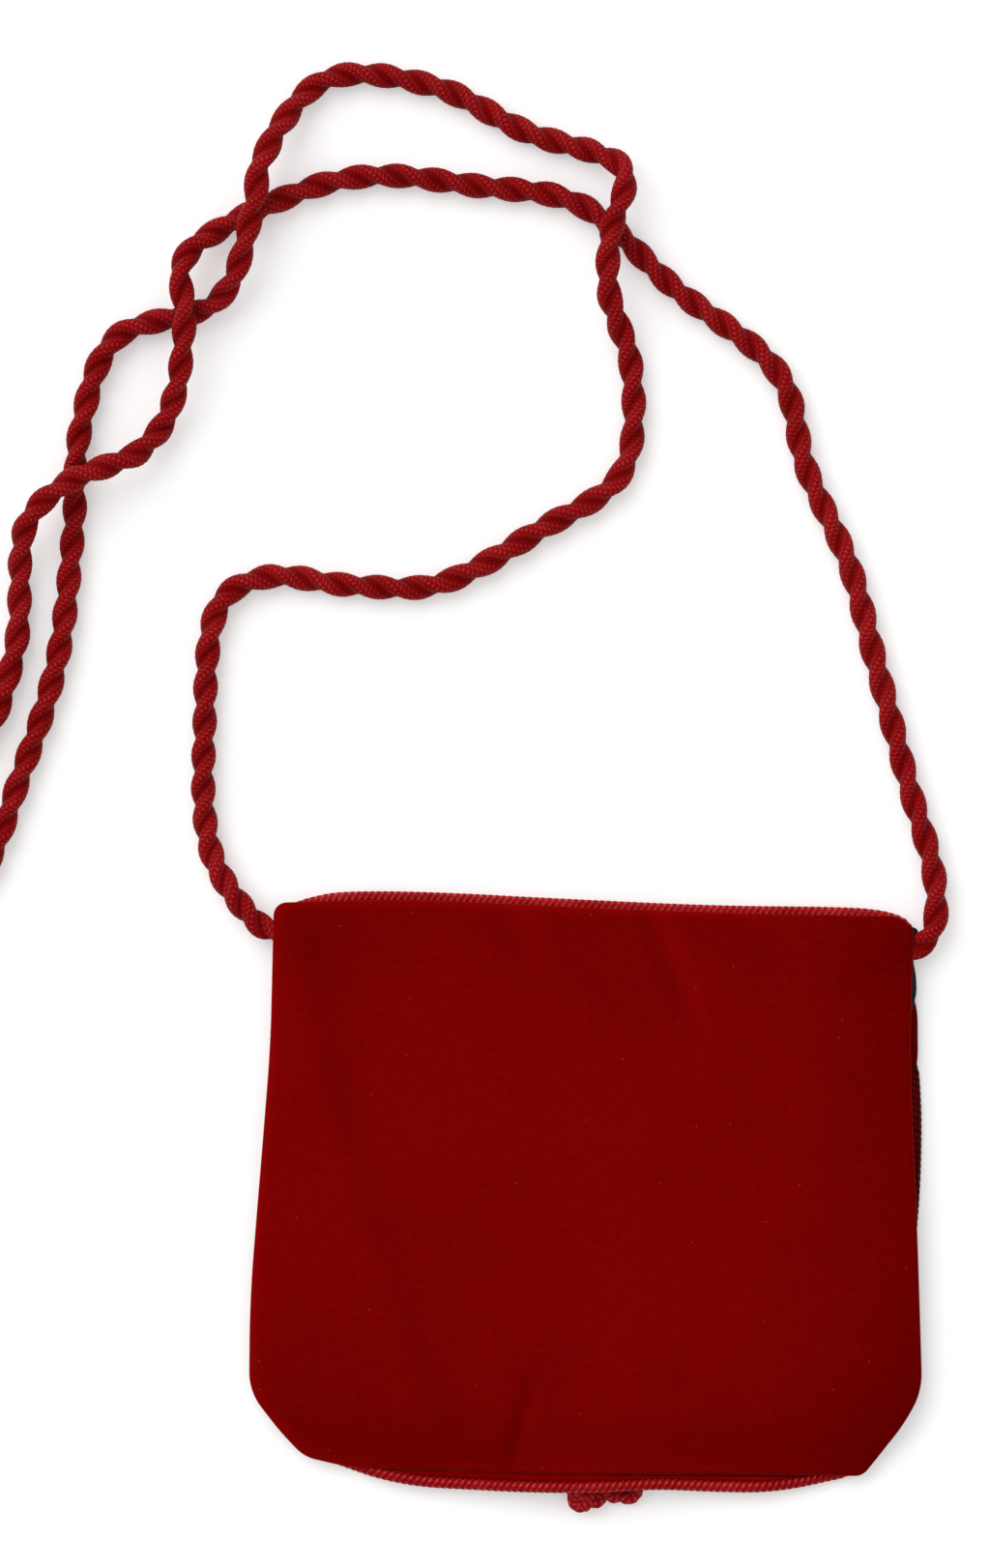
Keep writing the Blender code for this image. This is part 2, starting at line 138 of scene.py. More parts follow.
def even_run(points, step):
    """The same run with its points an even step apart."""
    along = travelled(points)
    stations = np.linspace(0.0, along[-1], math.ceil(along[-1] / step) + 1)
    return np.column_stack([np.interp(stations, along, points[:, axis]) for axis in range(3)])


def unit(vectors):
    """The vectors at length one."""
    return vectors / np.linalg.norm(vectors, axis=-1, keepdims=True)


def upright_axes(centre):
    """At each point of a run, the level direction across it and the direction above it."""
    heading = unit(np.gradient(centre, axis=0))
    across = unit(np.cross(heading, (0.0, 0.0, 1.0)))
    return across, np.cross(across, heading)


def strap_run():
    """The strap's centre line on the surface, with a hump where it lies on its other run."""
    route = np.array(STRAP_ROUTE)
    flat = smooth_route(route[:, :2])
    along = travelled(flat)
    radius = STRAP_DIAMETER / 2.0
    height = np.full(len(flat), radius)
    spots = along[np.flatnonzero(route[:, 2] > 0.5) * ROUTE_STEPS]
    rises = [(spot, radius + STRAP_DIAMETER + CROSSING_GAP) for spot in spots]
    rises += [(spot, STRAP_JOINT_HEIGHT) for spot in along[[0, -1]]]
    for spot, top in rises:
        away = (np.abs(along - spot) - HUMP_FLAT) / (HUMP_REACH - HUMP_FLAT)
        hump = np.cos(np.clip(away, 0.0, 1.0) * math.pi / 2.0) ** 2
        height = np.maximum(height, radius + (top - radius) * hump)
    return even_run(np.column_stack((flat, height)), STRAP_STEP)


def braided_ply(centre, phase):
    """One ply's grid: a round cord, flat where it lies on the other, carried along a helix.

    The helix goes round the strap's centre line once in each lay, tighter near the left
    seam and a little unevenly all along, and its thickness varies by a few hundredths. At
    both seams the strap is pressed flat. The shade is painted shade: a cosine round the ply,
    lightest on its outside, that falls towards the other one. Returns the grid, how far
    along the ply each ring is, and the painted shade of each point.
    """
    along = travelled(centre)
    tight = (1.0 + EXTRA_TWIST * np.exp(-along / EXTRA_TWIST_RUN)
             + UNEVEN_TWIST * np.sin(along / UNEVEN_TWIST_RUN))
    turn = np.append(0.0, np.cumsum(tight[1:] * np.diff(along))) * math.tau / STRAP_LAY
    turn += phase + STRAP_PHASE
    across, above = upright_axes(centre)
    outward = np.cos(turn)[:, None] * across - np.sin(turn)[:, None] * above
    helix = centre + PLY_OFFSET * outward
    run = travelled(helix)
    stations = np.linspace(0.0, run[-1], math.ceil(run[-1] / PLY_STEP))
    points, spokes, middle = (
        np.column_stack([np.interp(stations, run, line[:, axis]) for axis in range(3)])
        for line in (helix, outward, centre))
    heading = unit(np.gradient(points, axis=0))
    sideways = unit(np.cross(heading, spokes))
    spokes = np.cross(sideways, heading)
    angle = np.arange(PLY_SIDES) * math.tau / PLY_SIDES
    swell = 0.97 + 0.02 * np.sin(stations / 0.013) + 0.01 * np.sin(stations / 0.0051 + phase)
    out = np.maximum(PLY_RADIUS * swell[:, None] * np.cos(angle), PLY_GAP - PLY_OFFSET)
    power = np.where(np.cos(angle) < 0.0, PLY_FLATNESS, 1.0)
    side = PLY_RADIUS * swell[:, None] * np.sign(np.sin(angle)) * np.abs(np.sin(angle)) ** power
    grid = (points[:, None] + out[..., None] * spokes[:, None]
            + side[..., None] * sideways[:, None])
    end = np.minimum(stations, stations[-1] - stations)
    pressed = PRESSED + (1.0 - PRESSED) * np.clip((end - PRESSED_END) / PRESSED_RUN, 0.0, 1.0)
    level = middle[:, None, 2]
    grid[..., 2] = level + pressed[:, None] * (grid[..., 2] - level)
    shade = np.clip(MID_SHADE + SHADE_SWING * np.cos(angle), 0.0, 1.0)
    return grid, stations, np.tile(shade, (len(stations), 1))


def enclosed(points, quads, fans):
    """Six times the volume inside the faces, which is negative where they face inwards."""
    a, b, c, d = (points[quads[:, corner]] for corner in range(4))
    volume = np.einsum("ij,ij->", a, np.cross(b, c)) + np.einsum("ij,ij->", a, np.cross(c, d))
    a, b, c = (points[fans[:, corner]] for corner in range(3))
    return volume + np.einsum("ij,ij->", a, np.cross(b, c))


def closed_grid(grid, along):
    """The points, faces and map of a grid of rings.

    Every ring is joined to the next and to itself, and a fan of triangles closes each end.
    The map's first coordinate goes once round and its second is the distance along. Faces
    that would face inwards are turned over.
    """
    rings, sides = grid.shape[:2]
    points = np.vstack((grid.reshape(-1, 3), grid[0].mean(axis=0), grid[-1].mean(axis=0)))
    ring, side = np.meshgrid(np.arange(rings - 1), np.arange(sides), indexing="ij")
    ring, side = ring.ravel(), side.ravel()
    after = (side + 1) % sides
    quads = np.stack((ring * sides + side, ring * sides + after,
                      (ring + 1) * sides + after, (ring + 1) * sides + side), axis=1)
    around = np.stack((side, side + 1, side + 1, side), axis=1) / sides
    down = along[np.stack((ring, ring, ring + 1, ring + 1), axis=1)]
    quad_map = np.stack((around, down), axis=2)
    place = np.arange(sides)
    beside = (place + 1) % sides
    first_pole, last_ring = rings * sides, (rings - 1) * sides
    near = np.stack((beside, place, np.full(sides, first_pole)), axis=1)
    far = np.stack((last_ring + place, last_ring + beside, np.full(sides, first_pole + 1)), axis=1)
    fans = np.vstack((near, far))
    fan_map = np.zeros((2 * sides, 3, 2))
    fan_map[..., 1] = np.repeat(along[[0, -1]], sides)[:, None]
    if enclosed(points, quads, fans) < 0.0:
        quads, fans, quad_map = quads[:, ::-1], fans[:, ::-1], quad_map[:, ::-1]
    return points, quads, fans, quad_map.reshape(-1, 2), fan_map.reshape(-1, 2)


def add_piece(name, parts, material, nodes):
    """A mesh piece from closed grids, standing for CAD nodes and riding on the purse.

    Each part is a grid of rings, the distance along it of each ring, and the painted light and
    shade of each point. The middle of an end has the mean shade of its ring.
    """
    points, quads, fans, quad_maps, fan_maps, shades = [], [], [], [], [], []
    start = 0
    for grid, along, shade in parts:
        flat, quad, fan, quad_map, fan_map = closed_grid(grid, along)
        points.append(flat)
        quads.append(quad + start)
        fans.append(fan + start)
        quad_maps.append(quad_map)
        fan_maps.append(fan_map)
        shades.append(np.append(shade.ravel(), (shade[0].mean(), shade[-1].mean())))
        start += len(flat)
    points, quads, fans = np.vstack(points), np.vstack(quads), np.vstack(fans)
    mesh = bpy.data.meshes.new(name)
    mesh.vertices.add(len(points))
    mesh.vertices.foreach_set("co", points.astype(np.float32).ravel())
    mesh.loops.add(quads.size + fans.size)
    corners = np.concatenate((quads.ravel(), fans.ravel())).astype(np.int32)
    mesh.loops.foreach_set("vertex_index", corners)
    mesh.polygons.add(len(quads) + len(fans))
    starts = np.concatenate((np.arange(len(quads)) * 4, quads.size + np.arange(len(fans)) * 3))
    mesh.polygons.foreach_set("loop_start", starts.astype(np.int32))
    layer = mesh.uv_layers.new(name="cloth")
    spread = np.vstack(quad_maps + fan_maps).astype(np.float32)
    layer.data.foreach_set("uv", spread.ravel())
    tone = mesh.attributes.new("shade", "FLOAT", "POINT")
    tone.data.foreach_set("value", np.concatenate(shades).astype(np.float32))
    mesh.update(calc_edges=True)
    mesh.validate()
    mesh.shade_smooth()
    mesh.materials.append(material)
    piece = bpy.data.objects.new(name, mesh)
    bpy.context.scene.collection.objects.link(piece)
    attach(piece, "root")
    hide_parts(*nodes)
    return piece


def new_material(name):
    """A node material, its tree, and its surface shader."""
    material = bpy.data.materials.new(name)
    material.use_nodes = True
    tree = material.node_tree
    return material, tree, tree.nodes["Principled BSDF"]


def add_node(tree, kind, settings=(), **inputs):
    """A shader node with its settings and its inputs, each a value or another node's socket.

    An input goes by its name, with underscores for spaces, or as i0, i1 and so on by its
    place in the node's list.
    """
    node = tree.nodes.new(kind)
    for name, value in dict(settings).items():
        setattr(node, name, value)
    for name, value in inputs.items():
        key = int(name[1:]) if name[1:].isdigit() else name.replace("_", " ")
        if isinstance(value, bpy.types.NodeSocket):
            tree.links.new(value, node.inputs[key])
        else:
            node.inputs[key].default_value = value
    return node


def cord_material(name, deep, bright, painted_glint, pitch, slant, columns, stitch_painted_shade):
    """Shiny rayon cord: painted pink glints on the crests of the stitches, deep red between them.

    The stitches come from the piece's own map, whose first coordinate goes once round the
    cord and the second is the distance along it. They stand in columns that slant one way
    and the other by turns, so that they meet in chevrons. Between the stitches the cord is
    painted darker by a given amount, as painted shade. The piece's shade attribute is
    painted shade and light, darker where the cord lies deeper. The deep and bright reds are
    the shaded and lit ends of one red, and the painted glint is a pink highlight mixed in
    where the cord is brightest.
    """
    material, tree, shader = new_material(name)
    uv = add_node(tree, "ShaderNodeUVMap", {"uv_map": "cloth"}).outputs["UV"]
    split = add_node(tree, "ShaderNodeSeparateXYZ", Vector=uv)
    fold = add_node(tree, "ShaderNodeMath", {"operation": "PINGPONG"},
                    i0=split.outputs["X"], i1=1.0 / columns).outputs[0]
    run = add_node(tree, "ShaderNodeMath", {"operation": "MULTIPLY_ADD"},
                   i0=fold, i1=slant, i2=split.outputs["Y"]).outputs[0]
    turns = add_node(tree, "ShaderNodeMath", {"operation": "MULTIPLY"},
                     i0=run, i1=math.tau / pitch).outputs[0]
    wave = add_node(tree, "ShaderNodeMath", {"operation": "SINE"}, i0=turns).outputs[0]
    crest = add_node(tree, "ShaderNodeMath", {"operation": "MULTIPLY_ADD"},
                     i0=wave, i1=0.5, i2=0.5).outputs[0]
    half_turn = add_node(tree, "ShaderNodeMath", {"operation": "MULTIPLY"},
                         i0=fold, i1=math.pi * columns).outputs[0]
    bulge = add_node(tree, "ShaderNodeMath", {"operation": "SINE"}, i0=half_turn).outputs[0]
    stitch = add_node(tree, "ShaderNodeMath", {"operation": "MULTIPLY"},
                      i0=crest, i1=bulge).outputs[0]
    position = add_node(tree, "ShaderNodeTexCoord").outputs["Object"]
    fuzz = add_node(tree, "ShaderNodeTexNoise", Vector=position, Scale=2600.0, Detail=2.0)
    patch = add_node(tree, "ShaderNodeTexNoise", Vector=position, Scale=90.0, Detail=2.0)
    shade = add_node(tree, "ShaderNodeAttribute", {"attribute_name": "shade"}).outputs["Fac"]
    part = add_node(tree, "ShaderNodeMath", {"operation": "MULTIPLY_ADD"},
                    i0=stitch, i1=stitch_painted_shade, i2=1.0 - stitch_painted_shade).outputs[0]
    tone = add_node(tree, "ShaderNodeMath", {"operation": "MULTIPLY"}, i0=shade, i1=part)
    mixed = add_node(tree, "ShaderNodeMath", {"operation": "MULTIPLY_ADD"},
                     i0=fuzz.outputs["Fac"], i1=0.5, i2=-0.25).outputs[0]
    spread = add_node(tree, "ShaderNodeMath", {"operation": "MULTIPLY_ADD"},
                      i0=patch.outputs["Fac"], i1=0.4, i2=-0.2).outputs[0]
    mottle = add_node(tree, "ShaderNodeMath", {"operation": "ADD"}, i0=mixed, i1=spread)
    level = add_node(tree, "ShaderNodeMath", {"operation": "ADD", "use_clamp": True},
                     i0=tone.outputs[0], i1=mottle.outputs[0]).outputs[0]
    red = add_node(tree, "ShaderNodeMix", {"data_type": "RGBA"}, i0=level,
                   i6=(*deep, 1.0), i7=(*bright, 1.0)).outputs[2]
    peak = add_node(tree, "ShaderNodeMath", {"operation": "POWER"}, i0=level, i1=4.0).outputs[0]
    colour = add_node(tree, "ShaderNodeMix", {"data_type": "RGBA"}, i0=peak,
                      i6=red, i7=(*painted_glint, 1.0)).outputs[2]
    tree.links.new(colour, shader.inputs["Base Color"])
    rough = add_node(tree, "ShaderNodeMath", {"operation": "MULTIPLY_ADD"},
                     i0=fuzz.outputs["Fac"], i1=0.3, i2=0.34).outputs[0]
    tree.links.new(rough, shader.inputs["Roughness"])
    shader.inputs["Specular IOR Level"].default_value = 0.12
    shader.inputs["Specular Tint"].default_value = (1.0, 0.18, 0.17, 1.0)
    shader.inputs["Sheen Weight"].default_value = 0.05
    shader.inputs["Sheen Roughness"].default_value = 0.4
    shader.inputs["Sheen Tint"].default_value = (0.9, 0.05, 0.05, 1.0)
    height = add_node(tree, "ShaderNodeMath", {"operation": "MULTIPLY_ADD"},
                      i0=fuzz.outputs["Fac"], i1=0.4, i2=stitch).outputs[0]
    bump = add_node(tree, "ShaderNodeBump", Height=height, Strength=0.6, Distance=0.00016)
    tree.links.new(bump.outputs["Normal"], shader.inputs["Normal"])
    return material


braid_red = cord_material("braided_cord", deep=(0.100, 0.0003, 0.0006),
                          bright=(0.345, 0.002, 0.003), painted_glint=(0.44, 0.030, 0.034),
                          pitch=STITCH_PITCH, slant=0.0050, columns=8.0, stitch_painted_shade=0.56)
strap_centre = strap_run()
strap = add_piece("shoulder_strap", [braided_ply(strap_centre, 0.0),
                                     braided_ply(strap_centre, math.pi)],
                  braid_red, ["strap_cord"])
round(float(travelled(strap_centre)[-1]), 3)


# The back of the pouch is one velvet panel over a thin interlining. It is seamed to the front
# panel at the sides and the foot, turned right side out, and stands out a little between them.
# A painted highlight lightens its rim, apart from the right side, which lies in shade.

SEAM = 0.00595
CLEARANCE = 0.0003
VELVET_THICKNESS = 0.0010
EDGE_ROLL = 0.0014
BACK_CROWN = 0.0052
CROWN_FALL = 0.25
FOLD_FADE = 0.52
BACK_HEIGHT = 0.1430
LOW_HALF_WIDTH = 0.0851
MIDDLE = np.array((0.0, 0.0040))
# Each corner of an outline is X, Y and the reach of its rounding, in millimetres.
BACK_CORNERS = (
    (77.6, 75.4, 2.2), (81.4, 72.5, 1.6), (81.1, 40.0, 14.0), (84.0, -8.0, 8.0),
    (84.9, -26.0, 8.0), (85.8, -45.0, 5.0), (81.0, -53.8, 3.6), (74.5, -62.6, 2.2),
    (71.2, -66.9, 2.0), (58.0, -66.9, 6.0), (20.0, -67.2, 14.0), (-22.0, -67.5, 14.0),
    (-58.0, -67.3, 6.0), (-70.6, -64.6, 3.0), (-76.6, -58.4, 3.0), (-84.8, -48.0, 5.0),
    (-85.0, -24.0, 12.0), (-82.2, 20.0, 9.0), (-81.0, 40.0, 9.0), (-80.8, 75.9, 3.2),
    (-62.0, 76.8, 8.0), (-44.0, 77.4, 8.0), (8.0, 75.9, 10.0), (50.0, 75.3, 10.0),
)
BACK_SIDES = 720
BACK_UNDER_RINGS = 12
BACK_OVER_RINGS = 96
POLE_ANGLE = 0.02
ARC_POINTS = 24
WAVINESS = 0.0001
KNOT_X = 0.0017
FLAP_FOOT = -0.0683
KNOT_LIFT = 0.0040
KNOT_HILL_ACROSS = 0.040
KNOT_HILL_ALONG = 0.028
FOOT_DROP = 0.0026
FOOT_DROP_START = 0.050
FOOT_DROP_RUN = 0.016
# Each fold is its two ends, its half width and its rise in millimetres, and its painted
# shade: how much darker it is painted, where a negative amount is a painted highlight.
# Those with no rise are painted patches with no fold.
BACK_FOLDS = (
    ((-73.5, 74.0), (-61.0, 18.0), 4.8, -0.55, 0.16),
    ((-64.5, 30.0), (-30.5, -64.0), 4.8, -0.45, 0.12),
    ((-70.0, 76.0), (-60.0, 44.0), 8.0, 0.00, 0.10),
    ((-78.0, 60.0), (-52.0, -20.0), 5.5, 0.35, -0.05),
    ((-55.0, 50.0), (-38.0, 0.0), 8.0, 0.25, -0.04),
    ((12.0, 76.0), (22.5, 52.0), 2.6, -0.42, 0.14),
    ((17.5, 76.0), (29.0, 47.0), 3.2, 0.36, -0.24),
    ((20.0, 62.0), (24.0, 46.0), 5.0, -0.12, 0.14),
    ((-26.0, 76.0), (-17.0, 60.0), 4.5, -0.26, 0.16),
    ((-19.5, 77.0), (-12.0, 60.0), 3.6, 0.22, -0.15),
    ((-19.6, -68.0), (-13.2, -42.0), 2.0, -0.55, 0.24),
    ((-16.4, -69.0), (-10.0, -46.0), 1.8, 0.42, -0.10),
    ((-5.0, -34.0), (-12.0, -52.0), 6.0, -0.20, 0.06),
    ((33.0, 56.0), (48.0, 10.0), 8.0, -0.30, 0.04),
    ((60.0, 58.0), (84.0, 68.0), 7.0, 0.00, 0.10),
    ((52.0, -78.0), (92.0, -28.0), 15.0, 0.00, 0.13),
    ((0.0, 30.0), (4.0, -62.0), 28.0, 0.00, -0.08),
    ((-84.0, -30.0), (-58.0, -66.0), 14.0, 0.00, 0.06),
    ((-12.0, 70.0), (12.0, 44.0), 9.0, 0.00, 0.05),
    ((28.0, 74.0), (48.0, 62.0), 8.0, 0.00, 0.08),
    ((-44.0, 60.0), (-28.0, 8.0), 12.0, 0.00, -0.08),
    ((28.0, 52.0), (56.0, 18.0), 14.0, 0.00, -0.06),
)
RIM_PAINTED_HIGHLIGHT = 0.30
RIM_START = 0.965
RIM_RUN = 0.030
RIM_RIGHT_END = 0.065
RIM_RIGHT_FADE = 0.04


def rounded_outline(corners, count):
    """A closed outline in metres from (x, y, reach) corners in millimetres.

    Each corner is cut by an arc that starts and ends its reach away from it, and the whole
    is then read off at an even spacing.
    """
    corners = np.array(corners) / 1000.0
    here, reach = corners[:, :2], corners[:, 2:]
    before = unit(np.roll(here, 1, axis=0) - here)
    after = unit(np.roll(here, -1, axis=0) - here)
    turn = math.pi - np.arccos(np.clip((before * after).sum(axis=1), -1.0, 1.0))[:, None]
    radius = reach / np.tan(turn / 2.0)
    centre = here + unit(before + after) * radius / np.cos(turn / 2.0)
    start, end = here + before * reach - centre, here + after * reach - centre
    side = np.sign(start[:, :1] * end[:, 1:] - start[:, 1:] * end[:, :1])
    angle = side * turn * np.linspace(0.0, 1.0, ARC_POINTS)
    cosine, sine = np.cos(angle), np.sin(angle)
    arcs = np.stack((centre[:, :1] + start[:, :1] * cosine - start[:, 1:] * sine,
                     centre[:, 1:] + start[:, :1] * sine + start[:, 1:] * cosine), axis=2)
    path = arcs.reshape(-1, 2)
    path = np.vstack((path, path[:1]))
    along = travelled(path)
    stations = np.linspace(0.0, along[-1], count, endpoint=False)
    return np.column_stack([np.interp(stations, along, path[:, axis]) for axis in range(2)])


def knot_lift(points):
    """How far the knot under the foot props the cloth up: a smooth hill in X and Y."""
    across = np.maximum(1.0 - np.abs(points[..., 0] - KNOT_X) / KNOT_HILL_ACROSS, 0.0)
    along = np.clip(1.0 - (points[..., 1] - FLAP_FOOT) / KNOT_HILL_ALONG, 0.0, 1.0)
    return KNOT_LIFT * across ** 2 * (3.0 - 2.0 * across) * along ** 2


def from_middle(points):
    """The square of how far out each point is, where 1 is the side and the foot."""
    across = points[..., 0] / LOW_HALF_WIDTH
    along = (points[..., 1] - MIDDLE[1]) / (BACK_HEIGHT / 2.0)
    return across ** 2 + along ** 2


def eased(amount):
    """0 to 1 as the amount goes from 0 to 1, flat at both ends."""
    amount = np.clip(amount, 0.0, 1.0)
    return amount ** 2 * (3.0 - 2.0 * amount)


def foot_drop(points):
    """How far the seam comes down towards the foot, where the pouch lies thinnest."""
    return -FOOT_DROP * eased((-FOOT_DROP_START - points[..., 1]) / FOOT_DROP_RUN)


def crease(points, start, end, width, depth):
    """A soft fold in the cloth: a bell curve across a line, fading out at both ends.

    The ends and the half width are in millimetres.
    """
    start, end = np.array(start) / 1000.0, np.array(end) / 1000.0
    line = end - start
    length = np.linalg.norm(line)
    offset = points - start
    along = offset @ line / length ** 2
    across = (offset[..., 0] * line[1] - offset[..., 1] * line[0]) / length
    return depth * np.exp(-(across / width * 1000.0) ** 2 - ((along - 0.5) / FOLD_FADE) ** 4)


def cloth_grid(outline, under_rings, over_rings, under, over):
    """A sheet's grid, from the pole under it out to its edge and back to the pole over it.

    The rings are the outline drawn in towards the middle by a scale, the sine of even steps,
    so they are closer together near the edge. The two height functions take the points and
    their scales.
    """
    out = np.sin(np.linspace(POLE_ANGLE, math.pi / 2.0, under_rings))
    back = np.sin(np.linspace(math.pi / 2.0, POLE_ANGLE, over_rings + 1))[1:]
    scales = np.concatenate((out, back))[:, None]
    flat = MIDDLE + (outline - MIDDLE) * scales[..., None]
    heights = np.vstack((under(flat[:under_rings], scales[:under_rings]),
                         over(flat[under_rings:], scales[under_rings:])))
    along = np.append(0.0, np.cumsum(np.abs(np.diff(scales[:, 0])))) * LOW_HALF_WIDTH
    return np.dstack((flat, heights)), along, np.ones(heights.shape)


def back_under(points, scales):
    """The inner face of the back: a crown that falls to the seam all round, and its folds.

    The crown is nearly level in the middle and falls as the sixth power of the scale. One
    long shallow fold runs from the top left corner down to the foot, short pulls come off
    the top edge, and a sharp little tuck stands at the foot. A slight waviness is added.
    """
    crown = (1.0 - scales ** 6) ** 0.75 * (1.0 - CROWN_FALL * from_middle(points))
    folds = sum(crease(points, *fold[:3], fold[3] / 1000.0) for fold in BACK_FOLDS)
    soft = WAVINESS * np.sin(points[..., 0] / 0.0091 + 1.3 * np.sin(points[..., 1] / 0.019))
    fade = 1.0 - scales ** 14
    return (SEAM + CLEARANCE / 2.0 + BACK_CROWN * crown + (folds + soft) * fade
            + knot_lift(points) + foot_drop(points))


def velvet_over(under):
    """The outer face of a panel: its inner face and the cloth, rolled down to the seam."""
    def over(points, scales):
        edge = np.clip((1.0 - scales) * LOW_HALF_WIDTH / EDGE_ROLL, 0.0, 1.0)
        return under(points, scales) + VELVET_THICKNESS * np.sqrt(1.0 - (1.0 - edge) ** 2)
    return over


def velvet_material():
    """Short dense red pile: no shine, a soft glow on the slopes, cloudy where it is brushed.

    Painted shade darkens it towards the right side, which lies in shade, and towards the
    foot, and it is darker in a band along the top. The shade attribute paints shade into the
    folds and a highlight along the rim. Noise of three sizes makes the clouds, the grain and
    the faint cross ribs, and a few specks of lint sit on the pile.
    """
    material, tree, shader = new_material("red_velvet_pile")
    position = add_node(tree, "ShaderNodeTexCoord").outputs["Object"]
    place = add_node(tree, "ShaderNodeSeparateXYZ", Vector=position)
    broad = add_node(tree, "ShaderNodeTexNoise", Vector=position, Scale=38.0, Detail=2.0)
    grain = add_node(tree, "ShaderNodeTexNoise", Vector=position, Scale=820.0, Detail=3.0,
                     Roughness=0.65)
    stretched = add_node(tree, "ShaderNodeMapping", Vector=position, Scale=(0.22, 1.0, 1.0))
    rows = add_node(tree, "ShaderNodeTexNoise", Vector=stretched.outputs["Vector"],
                    Scale=1500.0, Detail=1.0)
    pile = add_node(tree, "ShaderNodeTexNoise", Vector=position, Scale=4200.0, Detail=1.0)
    # Painted shade: darker towards the right side, which lies in shade, and towards the foot, and
    # darker in a band along the top.
    right = add_node(tree, "ShaderNodeMapRange", {"interpolation_type": "SMOOTHSTEP"},
                     Value=place.outputs["X"], From_Min=0.040, From_Max=0.088,
                     To_Min=-0.40, To_Max=-0.66)
    low = add_node(tree, "ShaderNodeMapRange", {"interpolation_type": "SMOOTHSTEP"},
                   Value=place.outputs["Y"], From_Min=-0.072, From_Max=-0.024,
                   To_Min=-0.12, To_Max=0.0)
    high = add_node(tree, "ShaderNodeMapRange", {"interpolation_type": "SMOOTHSTEP"},
                    Value=place.outputs["Y"], From_Min=0.050, From_Max=0.074,
                    To_Min=0.0, To_Max=-0.13)
    pile_tone_and_painted_shade = add_node(tree, "ShaderNodeAttribute", {"attribute_name": "shade"}).outputs["Fac"]
    for tone in (right, low, high):
        pile_tone_and_painted_shade = add_node(tree, "ShaderNodeMath", {"operation": "ADD"},
                       i0=pile_tone_and_painted_shade, i1=tone.outputs["Result"]).outputs[0]
    for noise, amount in ((broad, 0.26), (grain, 0.85), (rows, 0.36)):
        wander = add_node(tree, "ShaderNodeMath", {"operation": "MULTIPLY_ADD"},
                          i0=noise.outputs["Fac"], i1=amount, i2=-amount / 2.0).outputs[0]
        pile_tone_and_painted_shade = add_node(tree, "ShaderNodeMath", {"operation": "ADD"}, i0=pile_tone_and_painted_shade, i1=wander).outputs[0]
    colour = add_node(tree, "ShaderNodeMix", {"data_type": "RGBA"}, i0=pile_tone_and_painted_shade,
                      i6=(0.120, 0.0003, 0.0003, 1.0), i7=(0.245, 0.0010, 0.0009, 1.0))
    dots = add_node(tree, "ShaderNodeTexVoronoi", {"voronoi_dimensions": "2D"},
                    Vector=position, Scale=110.0)
    near = add_node(tree, "ShaderNodeMath", {"operation": "LESS_THAN"},
                    i0=dots.outputs["Distance"], i1=0.017).outputs[0]
    pick = add_node(tree, "ShaderNodeSeparateXYZ", Vector=dots.outputs["Color"])
    few = add_node(tree, "ShaderNodeMath", {"operation": "GREATER_THAN"},
                   i0=pick.outputs["X"], i1=0.88).outputs[0]
    lint = add_node(tree, "ShaderNodeMath", {"operation": "MULTIPLY"}, i0=near, i1=few)
    pile_colour = add_node(tree, "ShaderNodeMix", {"data_type": "RGBA"}, i0=lint.outputs[0],
                           i6=colour.outputs[2], i7=(0.30, 0.040, 0.035, 1.0))
    tree.links.new(pile_colour.outputs[2], shader.inputs["Base Color"])
    shader.inputs["Roughness"].default_value = 0.95
    shader.inputs["Specular IOR Level"].default_value = 0.0
    shader.inputs["Sheen Weight"].default_value = 1.0
    shader.inputs["Sheen Roughness"].default_value = 0.28
    shader.inputs["Sheen Tint"].default_value = (0.95, 0.120, 0.085, 1.0)
    height = add_node(tree, "ShaderNodeMath", {"operation": "MULTIPLY_ADD"},
                      i0=rows.outputs["Fac"], i1=0.6, i2=pile.outputs["Fac"]).outputs[0]
    bump = add_node(tree, "ShaderNodeBump", Height=height, Strength=0.4, Distance=0.00008)
    tree.links.new(bump.outputs["Normal"], shader.inputs["Normal"])
    return material


velvet_red = velvet_material()
back_outline = rounded_outline(BACK_CORNERS, BACK_SIDES)
back_grid, back_along, back_shade = cloth_grid(back_outline, BACK_UNDER_RINGS, BACK_OVER_RINGS,
                                               back_under, velvet_over(back_under))
# Painted shade in the folds and painted highlights on their ridges, from the folds' last column.
back_shade -= sum(crease(back_grid[..., :2], *fold[:3], fold[4]) for fold in BACK_FOLDS)
back_reach = (np.linalg.norm(back_grid[..., :2] - MIDDLE, axis=2)
              / np.linalg.norm(back_outline - MIDDLE, axis=1))
# Painted highlight along the rim, left out at the right side.
near_rim = eased((back_reach - RIM_START) / RIM_RUN)
left_of_side = eased((RIM_RIGHT_END - back_grid[..., 0]) / RIM_RIGHT_FADE)
back_shade += RIM_PAINTED_HIGHLIGHT * near_rim * left_of_side
back = add_piece("back_velvet", [(back_grid, back_along, back_shade)],
                 velvet_red, ["back_panel"])


# The front of the pouch is the same velvet, hidden under the flap. Its top edge is hemmed and
# stops short of the fold, and that is the mouth of the pocket.

FRONT_FLAT = 0.0026
FRONT_CROWN = 0.0022
MOUTH = 0.0665
MOUTH_RUN = 0.018
TOP_HALF_WIDTH = 0.0809
SIDE_START = 0.62
SIDE_RUN = 0.32
BOWL_RISE = 0.12
FRONT_CORNERS = ((81.0, 66.5, 2.0),) + BACK_CORNERS[2:19] + ((-80.7, 66.5, 2.0),)
FRONT_SIDES = 480
FRONT_UNDER_RINGS = 40
FRONT_OVER_RINGS = 14


